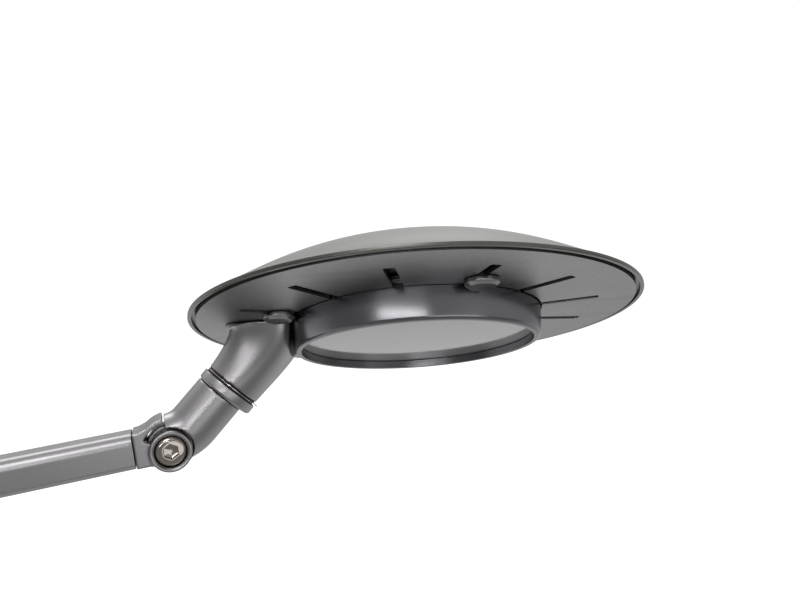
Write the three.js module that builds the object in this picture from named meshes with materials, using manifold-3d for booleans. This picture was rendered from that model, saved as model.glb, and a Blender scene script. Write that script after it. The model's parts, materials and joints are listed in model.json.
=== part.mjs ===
// A small domed head with a slotted underside, on a swivelling neck, carried from a wall bracket
// by a folding arm of two links. Millimetres. The origin is the centre of the wall plate's back
// face: +X leaves the wall, +Z is up, and every friction hinge turns about Y.
import * as THREE from "three";
import { mergeVertices } from "three/addons/utils/BufferGeometryUtils.js";
import Module from "manifold-3d";

const wasm = await Module();
wasm.setup();

// ---------------------------------------------------------------- driving dimensions

const GAP = 0.3; // left between pieces that touch
const FINE = 44; // sides of the head's large round pieces
const ROUND = 18; // sides of small round pieces

const WALL_PLATE = { radius: 27, thickness: 3, screwOffset: 19, screwHole: 2.4 };
const COVER = { radius: 30, depth: 15, wall: 1.2, mouth: 6.6 };
const STEM = { radius: 6, flangeRadius: 13, flangeThickness: 3, boltOffset: 9.5 };
const BARREL = { x: 36, radius: 7.5, halfHeight: 8, bore: 4.15 };
const POST = { pin: 4, thread: 3, collar: 7, stalk: 3.6, hingeHeight: 24 };

const ARM_LENGTH = 150; // between a link's two hinge axes
const LOWER_ARM_ANGLE = 52; // above the horizontal, at rest
const UPPER_ARM_ANGLE = 7;
const ARM_RISE = 1.3; // a link's centre line above its hinge line
const PROFILE = { top: 4.1, foot: -2.2, width: 8, round: 2, channel: 5, depth: 4.6, bevel: 0.8 };

const BOSS = { radius: 3.7, front: 5.5, rear: 6.2 }; // the two cheeks' round ends
const FORK = { slot: 2.5, seat: 5, lip: 5.9, seam: 6.1, plug: 10 };
const KNUCKLE = { radius: 4.3, halfWidth: 1.8 };
const SCREW = { shank: 1.5, clear: 1.65, head: 2.75, headHeight: 1.8, socket: 1.44 };
const NUT = { corner: 3.175, thickness: 2.1, pocketCorner: 3.35, pocketFloor: 3.7 };

const SWIVEL = { x: 11.59, z: 8.08, angle: 41 }; // its centre from the elbow hinge, along a link
const NECK = { radius: 4.74, offset: 0.77, bend: 8 };
const COLLAR = { radius: 5.75, thickness: 1.65, skirt: 0.27 }; // the skirt reaches down to the neck
const SPIGOT = { radius: 2.9, bore: 1.2, below: 6, above: 9, groove: 2.3 };
const SWIVEL_STACK = { clear: 0.05, washer: 0.2, washers: 3 }; // between the collar and the bracket
const SWIVEL_AT_REST = -25; // the head turned off the arm's plane
const HEAD_TILT = 48; // the swivel axis above the plate's plane
const HEAD = { x: 36.5, z: 11.3 }; // the plate's centre from the swivel's centre

const PLATE = { radius: 40.9, thickness: 0.7, hole: 24.1 };
const SLOT = { count: 12, pitch: 360 / 13, width: 1.9, end: 34.3 };
const DOME = { radius: 42.3, lip: 0.7, foot: 0.15, shoulder: 0.75, rise: 12.3, wall: 1 };
const RING = { foot: 23.2, top: 23.8, height: 5.6, bore: 22, seat: -4.05, socket: 22.6 };
const BUTTON = {
  circle: 26.9, radius: 2.85, height: 1.3, shank: 1.4, angles: [67, 155, -155, -67],
};
const CARRIER = { top: 3.3 };
const BRACKET = { clearance: 24.2, width: 8.2, screwX: -32, screwY: 4.5, screwDepth: 3.1 };

const deg = THREE.MathUtils.degToRad;
const FINISH = {
  satin: { color: 0x8c8c90, roughness: 0.38, metalness: 0.85 },
  cover: { color: 0x6f7070, roughness: 0.32, metalness: 0.8 },
  steel: { color: 0xc9c7c2, roughness: 0.18, metalness: 1 },
  dark: { color: 0x1c1c1d, roughness: 0.6, metalness: 0 },
  nylon: { color: 0xb9b7b0, roughness: 0.55, metalness: 0 },
  white: { color: 0xe8e8e4, roughness: 0.5, metalness: 0 },
  yellow: { color: 0xe3c84a, roughness: 0.5, metalness: 0 },
  opal: { color: 0xacacac, roughness: 0.12, metalness: 0 },
};

// ---------------------------------------------------------------- shapes

// A body of revolution about Z; the outline is a list of [radius, height].
function latheZ(outline, sides = ROUND) {
  const points = outline.map(([radius, height]) => new THREE.Vector2(radius, height));
  return new THREE.LatheGeometry(points, sides).rotateX(Math.PI / 2);
}

// A ring of rectangular section about Z.
const ringZ = (inner, outer, low, high, sides = ROUND) =>
  latheZ([[inner, low], [outer, low], [outer, high], [inner, high], [inner, low]], sides);

// A solid round piece about Z.
const rodZ = (radius, low, high, sides = ROUND) =>
  latheZ([[0, low], [radius, low], [radius, high], [0, high]], sides);

// Turns a piece made about Z so that it lies about Y, or about X.
const alongY = (geometry) => geometry.rotateX(-Math.PI / 2);
const alongX = (geometry) => geometry.rotateY(Math.PI / 2);

// An outline in X and Z, extruded from y = low to y = high.
function slab(shape, low, high, curveSegments = 6) {
  const settings = { depth: high - low, bevelEnabled: false, curveSegments };
  return new THREE.ExtrudeGeometry(shape, settings).rotateX(Math.PI / 2).translate(0, high, 0);
}

// An outline in Y and Z, extruded from x = low to x = high.
function bar(shape, low, high, curveSegments = 4) {
  const settings = { depth: high - low, bevelEnabled: false, curveSegments };
  const axes = new THREE.Matrix4().makeBasis(
    new THREE.Vector3(0, 1, 0), new THREE.Vector3(0, 0, 1), new THREE.Vector3(1, 0, 0));
  return new THREE.ExtrudeGeometry(shape, settings).applyMatrix4(axes).translate(low, 0, 0);
}

// A box between two corners.
function block(low, high) {
  const size = high.map((value, axis) => value - low[axis]);
  const centre = high.map((value, axis) => (value + low[axis]) / 2);
  return new THREE.BoxGeometry(...size).translate(...centre);
}

// A skin through rounded sections whose centres lie in the XZ plane. A station has its centre
// (x, z), the angle of its axis above X, its half sizes across (in the plane) and wide (along Y),
// and the power of its outline: 2 is an ellipse, and more is squarer.
function loft(stations, sides = ROUND) {
  const vertices = [];
  const faces = [];
  const round = (value, power) => Math.sign(value) * Math.abs(value) ** (2 / power);
  for (const { x, z, angle, across, wide, power = 2 } of stations)
    for (let k = 0; k < sides; k++) {
      const turn = (2 * Math.PI * k) / sides;
      const u = across * round(Math.cos(turn), power);
      vertices.push(x - u * Math.sin(deg(angle)), wide * round(Math.sin(turn), power),
        z + u * Math.cos(deg(angle)));
    }
  for (let i = 0; i + 1 < stations.length; i++)
    for (let k = 0; k < sides; k++) {
      const a = i * sides + k;
      const b = i * sides + ((k + 1) % sides);
      faces.push(a, a + sides, b, b, a + sides, b + sides);
    }
  const first = stations[0];
  const last = stations[stations.length - 1];
  const end = (stations.length - 1) * sides;
  const centre = vertices.length / 3;
  vertices.push(first.x, 0, first.z, last.x, 0, last.z);
  for (let k = 0; k < sides; k++) {
    const next = (k + 1) % sides;
    faces.push(centre, k, next, centre + 1, end + next, end + k);
  }
  const geometry = new THREE.BufferGeometry();
  geometry.setAttribute("position", new THREE.Float32BufferAttribute(vertices, 3));
  geometry.setIndex(faces);
  return geometry;
}

// ---------------------------------------------------------------- joining and cutting

function solid(geometry) {
  const loose = geometry.index ? geometry.toNonIndexed() : geometry;
  const bare = new THREE.BufferGeometry();
  bare.setAttribute("position", loose.getAttribute("position"));
  const merged = mergeVertices(bare, 1e-4);
  return new wasm.Manifold(new wasm.Mesh({
    numProp: 3,
    vertProperties: merged.getAttribute("position").array,
    triVerts: new Uint32Array(merged.index.array),
  }));
}

function skinOf(made) {
  const mesh = made.getMesh();
  const geometry = new THREE.BufferGeometry();
  geometry.setAttribute("position", new THREE.BufferAttribute(mesh.vertProperties, 3));
  geometry.setIndex(new THREE.BufferAttribute(mesh.triVerts, 1));
  return geometry;
}

// The first geometry with the joined ones added, and then the cut ones taken away.
function shaped(base, joined, cut) {
  let made = solid(base);
  for (const geometry of joined) made = made.add(solid(geometry));
  for (const geometry of cut) made = made.subtract(solid(geometry));
  return skinOf(made);
}

function part(name, geometry, finish, parent) {
  const flat = geometry.index ? geometry.toNonIndexed() : geometry;
  flat.computeVertexNormals();
  const material = new THREE.MeshStandardMaterial({ ...FINISH[finish], name: finish });
  const mesh = new THREE.Mesh(flat, material);
  mesh.name = name;
  parent.add(mesh);
  return mesh;
}

function group(parent, x = 0, y = 0, z = 0) {
  const made = new THREE.Group();
  made.position.set(x, y, z);
  parent.add(made);
  return made;
}

// ---------------------------------------------------------------- fasteners

// A screw along Z, its head's underside at z = 0, its shank towards +Z, with a hexagon socket.
function socketScrew({ shank, head, headHeight, socket }, length) {
  const chamfer = 0.25;
  const body = latheZ([[0, -headHeight], [head - chamfer, -headHeight], [head, chamfer - headHeight],
    [head, 0], [shank, 0], [shank, length], [0, length]]);
  return shaped(body, [], [rodZ(socket, -headHeight - 1, -headHeight * 0.35, 6)]);
}

// A hexagon nut about Z with a plain hole.
const hexNut = (corner, hole, low, high) =>
  shaped(rodZ(corner, low, high, 6), [], [rodZ(hole, low - 1, high + 1, 16)]);

// The screw, nut and two friction washers of a hinge whose axis is the parent's Y.
function hingeHardware(prefix, parent) {
  const headSeat = -BOSS.front + 2;
  const screw = socketScrew(SCREW, BOSS.rear - headSeat - 0.4).translate(0, 0, headSeat);
  part(prefix + "_screw", alongY(screw), "steel", parent);
  const nutFrom = NUT.pocketFloor + 0.1;
  const nut = hexNut(NUT.corner, SCREW.shank + 0.12, nutFrom, nutFrom + NUT.thickness);
  part(prefix + "_nut", alongY(nut), "steel", parent);
  const clear = (FORK.slot - KNUCKLE.halfWidth) / 4;
  const washer = () =>
    alongY(ringZ(SCREW.clear, BOSS.radius - 0.2, KNUCKLE.halfWidth + clear, FORK.slot - clear));
  part(prefix + "_washer_rear", washer(), "nylon", parent);
  part(prefix + "_washer_front", washer().rotateZ(Math.PI), "nylon", parent);
}

// ---------------------------------------------------------------- links

// A link's outer section in Y and Z, with rounded shoulders above and bevels below.
function sectionOutline() {
  const side = PROFILE.width / 2;
  const { top, foot, round } = PROFILE;
  const outline = new THREE.Shape();
  outline.moveTo(-side + PROFILE.bevel, foot);
  outline.lineTo(side - PROFILE.bevel, foot);
  outline.lineTo(side, foot + PROFILE.bevel);
  outline.absarc(side - round, top - round, round, 0, Math.PI / 2, false);
  outline.absarc(round - side, top - round, round, Math.PI / 2, Math.PI, false);
  outline.lineTo(-side, foot + PROFILE.bevel);
  return outline;
}

// The fork end of a link, with the hinge at the origin and the link leaving towards -X.
function forkEnd() {
  const { top, foot } = PROFILE;
  const webTop = deg(150);
  const lipEnd = deg(97);
  const lipStart = deg(128);
  const bossFoot = deg(225);
  const side = PROFILE.width / 2;
  const fillet = { from: -3.9, corner: -3.2 };

  const outline = new THREE.Shape();
  outline.moveTo(-FORK.seam, foot);
  outline.lineTo(fillet.from, foot);
  outline.quadraticCurveTo(fillet.corner, foot,
    BOSS.radius * Math.cos(bossFoot), BOSS.radius * Math.sin(bossFoot));
  outline.absarc(0, 0, BOSS.radius, bossFoot, webTop + 2 * Math.PI, false);
  outline.absarc(0, 0, FORK.seat, webTop, lipEnd, true);
  outline.absarc(0, 0, FORK.lip, lipEnd, lipStart, false);
  outline.lineTo(-FORK.seam, top);

  const plugTop = foot + PROFILE.depth - GAP;
  const plugFoot = foot + 1.4;
  const plugSide = PROFILE.channel / 2 - GAP;
  const boss = (low, high) => alongY(rodZ(BOSS.radius, low, high));
  const joined = [
    boss(-BOSS.front, 0),
    boss(0, BOSS.rear),
    block([-FORK.seam - FORK.plug, -plugSide, plugFoot], [-FORK.seam + 0.5, plugSide, plugTop]),
  ];
  const cut = [
    alongY(rodZ(FORK.seat, -FORK.slot, FORK.slot)),
    block([0, -FORK.slot, -FORK.lip - 1], [FORK.lip + 1, FORK.slot, FORK.lip + 1]),
    alongY(rodZ(SCREW.clear, -10, 10)),
    alongY(rodZ(SCREW.head + 0.25, -BOSS.front - 1, -BOSS.front + 2.05)),
    alongY(rodZ(NUT.pocketCorner, NUT.pocketFloor, BOSS.rear + 1, 6)),
  ];
  return shaped(slab(outline, -side, side, 3), joined, cut);
}

// The tongue end of a link, with the hinge at the origin and the link leaving towards -X.
function tongueEnd() {
  const { foot } = PROFILE;
  const above = 3;
  const face = FORK.seam + GAP;
  const { radius, halfWidth } = KNUCKLE;

  const outline = new THREE.Shape();
  outline.moveTo(-face - 2, foot);
  outline.absarc(0, 0, radius, Math.atan2(foot, -Math.sqrt(radius ** 2 - foot ** 2)),
    Math.PI - Math.asin(above / radius), false);
  outline.lineTo(-face - 2, above);

  const plugSide = PROFILE.channel / 2 - GAP;
  const joined = [
    bar(sectionOutline(), -face - 2, -face),
    block([-face - 2 - FORK.plug, -plugSide, foot + 1.4],
      [-face - 1, plugSide, foot + PROFILE.depth - GAP]),
  ];
  const hole = alongY(rodZ(SCREW.clear, -10, 10));
  return shaped(slab(outline, -halfWidth, halfWidth, 7), joined, [hole]);
}

// A link along +X from its rear hinge, at the origin, to its front hinge.
function link(prefix, frontIsTongue, parent) {
  const { foot } = PROFILE;
  const half = PROFILE.channel / 2;
  const start = FORK.seam + GAP / 2;
  const end = ARM_LENGTH - FORK.seam - GAP / 2 - (frontIsTongue ? 2 + GAP : 0);
  const channel = block([0, -half, foot - 1], [ARM_LENGTH, half, foot + PROFILE.depth]);
  const profile = shaped(bar(sectionOutline(), start, end), [], [channel]);
  part(prefix + "_profile", profile, "satin", parent);
  const stripSide = half - 0.15;
  const strip = block([start, -stripSide, foot + 0.05], [end, stripSide, foot + 1.1]);
  part(prefix + "_cover_strip", strip, "satin", parent);
  const rear = part(prefix + "_rear_fork", forkEnd(), "satin", parent);
  rear.scale.x = -1;
  const front = part(prefix + (frontIsTongue ? "_front_tongue" : "_front_fork"),
    frontIsTongue ? tongueEnd() : forkEnd(), "satin", parent);
  front.position.x = ARM_LENGTH;
}

// ---------------------------------------------------------------- wall bracket and post

function wallBracket(parent) {
  const { thickness, radius, screwOffset, screwHole } = WALL_PLATE;
  const boltHole = 1.7;
  const acrossZ = (geometry, y, z) => alongX(geometry).translate(0, y, z);

  part("wall_plate", shaped(alongX(rodZ(radius, 0, thickness, 32)), [], [
    acrossZ(rodZ(screwHole, -1, thickness + 1, 16), 0, screwOffset),
    acrossZ(rodZ(screwHole, -1, thickness + 1, 16), 0, -screwOffset),
    acrossZ(rodZ(1.4, 1, thickness + 1, 12), STEM.boltOffset, 0),
    acrossZ(rodZ(1.4, 1, thickness + 1, 12), -STEM.boltOffset, 0),
  ]), "steel", parent);

  // Pan-head wall screws, which stop level with the plate's back face.
  const wallScrew = () => latheZ([[0, 0.1], [2, 0.1], [2, thickness + 0.1], [4.2, thickness + 0.1],
    [4.2, thickness + 1.3], [3, thickness + 2.4], [0, thickness + 2.6]], 20);
  part("wall_screw_top", acrossZ(wallScrew(), 0, screwOffset), "steel", parent);
  part("wall_screw_bottom", acrossZ(wallScrew(), 0, -screwOffset), "steel", parent);

  const flangeFrom = thickness + 0.1;
  const flangeTo = flangeFrom + STEM.flangeThickness;
  const stem = alongX(latheZ([[0, flangeFrom], [STEM.flangeRadius, flangeFrom],
    [STEM.flangeRadius, flangeTo], [STEM.radius, flangeTo], [STEM.radius, BARREL.x], [0, BARREL.x]], 28));
  part("stem_bracket", shaped(stem,
    [rodZ(BARREL.radius, -BARREL.halfHeight, BARREL.halfHeight, 32).translate(BARREL.x, 0, 0)],
    [
      rodZ(BARREL.bore, -20, 20, 32).translate(BARREL.x, 0, 0),
      acrossZ(rodZ(boltHole, 0, 10, 12), STEM.boltOffset, 0),
      acrossZ(rodZ(boltHole, 0, 10, 12), -STEM.boltOffset, 0),
    ]), "satin", parent);

  const bolt = () => latheZ([[0, thickness - 1.8], [1.25, thickness - 1.8], [1.25, flangeTo + 0.1],
    [2.6, flangeTo + 0.1], [2.6, flangeTo + 1.6], [2, flangeTo + 2.1], [0, flangeTo + 2.1]], 16);
  part("bracket_bolt_left", acrossZ(bolt(), STEM.boltOffset, 0), "steel", parent);
  part("bracket_bolt_right", acrossZ(bolt(), -STEM.boltOffset, 0), "steel", parent);

  const { radius: outer, depth, wall, mouth } = COVER;
  const soft = 5;
  const arc = (reach, from, to, steps) => Array.from({ length: steps + 1 }, (_, i) => {
    const turn = deg(from + ((to - from) * i) / steps);
    return [outer - soft + reach * Math.cos(turn), depth - soft + reach * Math.sin(turn)];
  });
  part("wall_cover", alongX(latheZ([[outer - wall, GAP], [outer, GAP], ...arc(soft, 0, 90, 3),
    [mouth, depth], [mouth, depth - wall], ...arc(soft - wall, 90, 0, 3), [outer - wall, GAP]], 40)),
    "satin", parent);

  const collarFrom = depth + 0.15;
  const collar = alongX(latheZ([[STEM.radius + 0.15, collarFrom], [9, collarFrom], [9, collarFrom + 3.4],
    [8.4, collarFrom + 4], [STEM.radius + 0.15, collarFrom + 4], [STEM.radius + 0.15, collarFrom]], 24));
  const screwHoleZ = rodZ(1.3, -12, -5, 12).translate(collarFrom + 2, 0, 0);
  part("cover_collar", shaped(collar, [], [screwHoleZ]), "satin", parent);
  const grub = shaped(rodZ(1.15, -8.6, -STEM.radius - 0.1, 12), [], [rodZ(0.75, -9, -7.4, 6)]);
  part("cover_grub_screw", grub.translate(collarFrom + 2, 0, 0), "dark", parent);
}

// The upright post that turns in the barrel and carries the shoulder hinge at its top.
function shoulderPost(parent) {
  const { pin, thread, collar, stalk, hingeHeight } = POST;
  const top = BARREL.halfHeight;
  const collarFrom = top + 1;
  const collarTo = collarFrom + 2.6;
  const stalkTop = hingeHeight - KNUCKLE.radius - 0.6;
  const body = latheZ([[0, -top - 6], [thread, -top - 6], [thread, -top + 0.4], [pin, -top + 0.8],
    [pin, collarFrom], [collar, collarFrom], [collar, collarTo - 0.5], [collar - 0.5, collarTo],
    [stalk + 1.1, collarTo + 0.4], [stalk + 1.1, stalkTop - 0.8], [stalk, stalkTop], [0, stalkTop]], 32);
  const tongueSide = 3.3;
  const hinge = (geometry) => geometry.translate(0, 0, hingeHeight);
  const tongue = block([-tongueSide, -KNUCKLE.halfWidth, stalkTop - 1],
    [tongueSide, KNUCKLE.halfWidth, hingeHeight]);
  part("shoulder_post", shaped(body,
    [tongue, hinge(alongY(rodZ(KNUCKLE.radius, -KNUCKLE.halfWidth, KNUCKLE.halfWidth)))],
    [hinge(alongY(rodZ(SCREW.clear, -10, 10)))]), "satin", parent);
  const thrust = ringZ(pin + 0.15, collar - 0.2, top + GAP, collarFrom - GAP, 24);
  part("post_thrust_washer", thrust, "nylon", parent);
  const spring = ringZ(thread + 0.15, 5.4, -top - 1, -top - GAP, ROUND);
  part("post_spring_washer", spring, "steel", parent);
  part("post_nut", hexNut(5.8, thread + 0.12, -top - 5.2, -top - 1.2), "steel", parent);
}

// ---------------------------------------------------------------- neck and swivel

// The elbow that leaves the upper link's fork and carries the swivel, hinge at the origin.
function neckElbow(parent) {
  const { x, z, angle } = SWIVEL;
  const { radius, offset, bend } = NECK;
  const collarFoot = COLLAR.thickness / 2 + GAP + 0.1;
  const side = { x: -Math.sin(deg(angle)), z: Math.cos(deg(angle)) };
  const along = { x: Math.cos(deg(angle)), z: Math.sin(deg(angle)) };
  const top = {
    x: x + offset * side.x - collarFoot * along.x,
    z: z + offset * side.z - collarFoot * along.z,
  };
  // The centre line runs along the link at ARM_RISE, bends, and rises straight to the collar.
  const tangent = bend * Math.tan(deg(angle) / 2);
  const corner = top.x - (top.z - ARM_RISE) / Math.tan(deg(angle));
  const bendStart = corner - tangent;
  const steps = 5;
  const stations = Array.from({ length: steps + 1 }, (_, i) => {
    const turn = (angle * i) / steps;
    return {
      x: bendStart + bend * Math.sin(deg(turn)),
      z: ARM_RISE + bend * (1 - Math.cos(deg(turn))),
      angle: turn, across: radius, wide: radius,
    };
  });
  stations.push({ ...top, angle, across: radius, wide: radius });

  const relief = KNUCKLE.halfWidth;
  const deep = radius + 1;
  const spigotHole = rodZ(SPIGOT.radius + 0.15, -SPIGOT.below - 0.3, 5);
  const cut = [
    alongY(rodZ(BOSS.radius + 0.4, relief, deep)),
    alongY(rodZ(BOSS.radius + 0.4, -deep, -relief)),
    alongY(rodZ(SCREW.clear, -10, 10)),
    spigotHole.rotateY(Math.PI / 2 - deg(angle)).translate(x, 0, z),
  ];
  const knuckle = alongY(rodZ(KNUCKLE.radius, -relief, relief));
  part("neck_elbow", shaped(loft(stations), [knuckle], cut), "satin", parent);
}

// Pieces about the swivel axis, which is the parent's Z, on the neck's side of the joint.
function swivelFixedPieces(parent) {
  const half = COLLAR.thickness / 2;
  const { radius, bore, below, above, groove } = SPIGOT;
  const chamfer = 0.35;
  const inner = radius + 0.12;
  const low = -half - COLLAR.skirt;
  const collar = latheZ([[inner, low], [COLLAR.radius - chamfer, low],
    [COLLAR.radius, low + chamfer], [COLLAR.radius, half - 0.15], [COLLAR.radius - 0.15, half],
    [inner, half], [inner, low]], 32);
  part("swivel_collar", collar, "satin", parent);
  part("swivel_spigot", latheZ([[bore, -below], [radius, -below], [radius, 4], [groove, 4.3],
    [groove, 7.7], [radius, 8], [radius, above - 0.4], [radius - 0.4, above], [bore, above],
    [bore, -below]], 20), "steel", parent);
}

// Pieces about the swivel axis that turn with the head.
function swivelTurningPieces(parent) {
  const inner = SPIGOT.radius + 0.2;
  const { clear, washer: thickness } = SWIVEL_STACK;
  const foot = (layer) => COLLAR.thickness / 2 + clear + layer * (thickness + clear);
  const washer = (layer, outer) => ringZ(inner, outer, foot(layer), foot(layer) + thickness, 32);
  part("swivel_lower_friction_washer", washer(0, COLLAR.radius - 0.45), "dark", parent);
  const tab = block([COLLAR.radius - 1.2, -0.9, foot(1)],
    [COLLAR.radius + 0.35, 0.9, foot(1) + thickness]);
  part("swivel_tab_washer", shaped(washer(1, COLLAR.radius - 0.3), [tab], []), "steel", parent);
  part("swivel_upper_friction_washer", washer(2, COLLAR.radius - 0.45), "dark", parent);
  const grub = shaped(rodZ(1.35, 2.55, 5, 12), [], [rodZ(0.85, 3.9, 6, 6)]);
  part("swivel_grub_screw", alongY(grub).translate(0, 0, 6), "dark", parent);
}

// ---------------------------------------------------------------- head, plate's centre at the origin

// The height of the dome's outer skin over the plate's underside.
const domeHeight = (radius) =>
  DOME.shoulder + DOME.rise * (1 - (radius / DOME.radius) ** 2.7) ** 1.2;

function domeCover(parent) {
  const { radius, lip, foot, wall, shoulder } = DOME;
  const ledge = PLATE.thickness + 0.25;
  const rebate = radius - lip;
  const outerRadii = [41.2, 39.2, 35, 29, 22, 13, 0];
  const innerRadii = outerRadii.slice(1).reverse();
  const shell = latheZ([
    [rebate, foot], [radius - 0.2, foot], [radius, foot + 0.2], [radius, shoulder],
    ...outerRadii.map((r) => [r, domeHeight(r)]),
    ...innerRadii.map((r) => [r, Math.max(domeHeight(r) - wall, ledge)]),
    [rebate, ledge], [rebate, foot],
  ], FINE);
  const onCircle = (geometry, angle) =>
    geometry.translate(BUTTON.circle * Math.cos(deg(angle)), BUTTON.circle * Math.sin(deg(angle)), 0);
  const postRadius = 2.4;
  const postTop = domeHeight(BUTTON.circle + postRadius) - wall / 4;
  const post = (angle) => onCircle(rodZ(postRadius, CARRIER.top + GAP, postTop, 10), angle);
  const bore = (angle) => onCircle(rodZ(BUTTON.shank + 0.2, 0, CARRIER.top + 3.5, 10), angle);
  part("dome_cover", shaped(shell, BUTTON.angles.map(post), BUTTON.angles.map(bore)), "cover", parent);
}

// The flat underside: its centre hole runs out into the radial heat slots.
function slotPlate(parent) {
  const polar = (radius, turn) =>
    new THREE.Vector2(radius * Math.cos(turn), radius * Math.sin(turn));
  const rim = Array.from({ length: FINE }, (_, i) => polar(PLATE.radius, (2 * Math.PI * i) / FINE));
  const outline = new THREE.Shape(rim);

  const opening = [];
  const half = SLOT.width / 2;
  const mouth = Math.asin(half / PLATE.hole);
  const slotEnd = Math.hypot(SLOT.end, half);
  const endTurn = Math.atan2(half, SLOT.end);
  for (let i = 1; i <= SLOT.count; i++) {
    const turn = Math.PI + deg(SLOT.pitch * i);
    opening.push(polar(PLATE.hole, turn - mouth), polar(slotEnd, turn - endTurn),
      polar(slotEnd, turn + endTurn), polar(PLATE.hole, turn + mouth));
    const steps = i === SLOT.count ? 8 : 4;
    const land = deg(SLOT.pitch) * (i === SLOT.count ? 2 : 1) - 2 * mouth;
    for (let k = 1; k < steps; k++) opening.push(polar(PLATE.hole, turn + mouth + (land * k) / steps));
  }
  outline.holes.push(new THREE.Path(opening));

  const hole = (radius, x, y) => rodZ(radius, -1, PLATE.thickness + 1, 12).translate(x, y, 0);
  const holes = [
    ...BUTTON.angles.map((angle) => {
      const at = polar(BUTTON.circle, deg(angle));
      return hole(BUTTON.shank + 0.25, at.x, at.y);
    }),
    hole(1.4, BRACKET.screwX, -BRACKET.screwY),
    hole(1.4, BRACKET.screwX, BRACKET.screwY),
  ];
  const plate = new THREE.ExtrudeGeometry(outline, { depth: PLATE.thickness, bevelEnabled: false });
  part("slot_plate", shaped(plate, [], holes), "satin", parent);
}

// The upper neck: a tube at the swivel that flares into a foot under the plate, hollowed on one
// side to pass round the window ring.
function headBracket(parent) {
  const { x, z } = HEAD;
  const tube = COLLAR.radius - 0.3;
  const steps = 6;
  const { clear, washer, washers } = SWIVEL_STACK;
  const start = COLLAR.thickness / 2 + washers * (washer + clear) + clear;
  const along = { x: Math.cos(deg(HEAD_TILT)), z: Math.sin(deg(HEAD_TILT)) };
  const from = { x: -x + start * along.x, z: -z + start * along.z };
  const to = { x: -29, z: -GAP };
  const corner = { x: to.x, z: from.z + ((to.x - from.x) * along.z) / along.x };
  const bezier = (a, b, c, t) => a * (1 - t) ** 2 + 2 * b * t * (1 - t) + c * t ** 2;
  const stations = Array.from({ length: steps + 1 }, (_, i) => {
    const t = i / steps;
    const slopeX = (corner.x - from.x) * (1 - t) + (to.x - corner.x) * t;
    const slopeZ = (corner.z - from.z) * (1 - t) + (to.z - corner.z) * t;
    return {
      x: bezier(from.x, corner.x, to.x, t),
      z: bezier(from.z, corner.z, to.z, t),
      angle: THREE.MathUtils.radToDeg(Math.atan2(slopeZ, slopeX)),
      across: tube + 1.4 * t ** 1.5,
      wide: tube + (BRACKET.width - tube) * t ** 1.6,
      power: 2 + 2 * t,
    };
  });
  const atSwivel = (geometry) => geometry.rotateY(Math.PI / 2 - deg(HEAD_TILT)).translate(-x, 0, -z);
  const cut = [
    rodZ(BRACKET.clearance, -20, 5, 40),
    atSwivel(rodZ(SPIGOT.radius + 0.15, 0, SPIGOT.above + 0.4, 20)),
    atSwivel(alongY(rodZ(1.5, 0, 12, 10)).translate(0, 0, 6)),
    ...[-1, 1].map((side) => rodZ(1.3, -BRACKET.screwDepth - 0.3, 1, 10)
      .translate(BRACKET.screwX, side * BRACKET.screwY, 0)),
  ];
  part("head_bracket", shaped(loft(stations, 24), [], cut), "satin", parent);

  const above = PLATE.thickness + 0.15;
  const tip = -BRACKET.screwDepth;
  const screw = () => latheZ([[0, tip], [1.1, tip], [1.1, above], [2.2, above], [2.2, above + 0.8],
    [1.6, above + 1.4], [0, above + 1.4]], 16);
  part("bracket_screw_front", screw().translate(BRACKET.screwX, -BRACKET.screwY, 0), "steel", parent);
  part("bracket_screw_rear", screw().translate(BRACKET.screwX, BRACKET.screwY, 0), "steel", parent);
}

// The ring passes down through the plate; its flange is clamped between the plate and the carrier.
function windowAndLamp(parent) {
  const { foot, top, height, bore, seat, socket } = RING;
  const flangeFrom = PLATE.thickness + 0.25;
  const flangeTo = flangeFrom + 0.7;
  part("window_ring", latheZ([[bore, -height], [foot - 0.3, -height], [foot, 0.3 - height], [top, -0.2],
    [top, flangeFrom], [24.7, flangeFrom], [24.7, flangeTo], [socket, flangeTo], [socket, seat],
    [bore, seat], [bore, -height]], FINE), "satin", parent);

  const glassTop = seat + 0.1 + 1.5;
  part("front_glass", rodZ(socket - 0.25, seat + 0.1, glassTop, FINE), "opal", parent);
  const gasketTop = glassTop + 0.1 + 0.7;
  part("glass_gasket", ringZ(20.9, socket - 0.25, glassTop + 0.1, gasketTop, 28), "dark", parent);

  const rim = gasketTop + 0.1;
  const rimOuter = socket - 0.3;
  part("reflector", latheZ([[20.7, rim], [rimOuter, rim], [rimOuter, rim + 0.6], [20.9, rim + 0.6],
    [7, 3.5], [6.8, 2.9], [20.7, rim]], 32), "white", parent);
  part("led_emitter", rodZ(5, 3.2, 3.95), "yellow", parent);
  part("led_board", rodZ(11, 4.05, 5.25, 28), "white", parent);

  const carrier = latheZ([[0, 5.4], [13, 5.4], [22, 2.1], [29, 2.1], [29, CARRIER.top],
    [22.4, CARRIER.top], [13.4, 6.6], [0, 6.6]], 28);
  const holes = BUTTON.angles.map((angle) => rodZ(BUTTON.shank + 0.2, 0, 8, 12)
    .translate(BUTTON.circle * Math.cos(deg(angle)), BUTTON.circle * Math.sin(deg(angle)), 0));
  part("lamp_carrier", shaped(carrier, [], holes), "steel", parent);
}

// Low round buttons under the plate: the heads of the screws that clamp the head together.
function plateButtons(parent) {
  const { circle, radius, height, shank, angles } = BUTTON;
  const face = -0.15;
  angles.forEach((angle, i) => {
    const button = latheZ([[0, -height], [radius - 0.5, -height], [radius, 0.4 - height], [radius, face],
      [shank, face], [shank, CARRIER.top + 3.2], [0, CARRIER.top + 3.2]], 20);
    button.translate(circle * Math.cos(deg(angle)), circle * Math.sin(deg(angle)), 0);
    part("plate_button_" + (i + 1), button, "satin", parent);
  });
}

// ---------------------------------------------------------------- assembly

const root = new THREE.Group();
root.name = "domed_head_on_folding_wall_arm";

wallBracket(root);
const post = group(root, BARREL.x);
shoulderPost(post);

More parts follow.
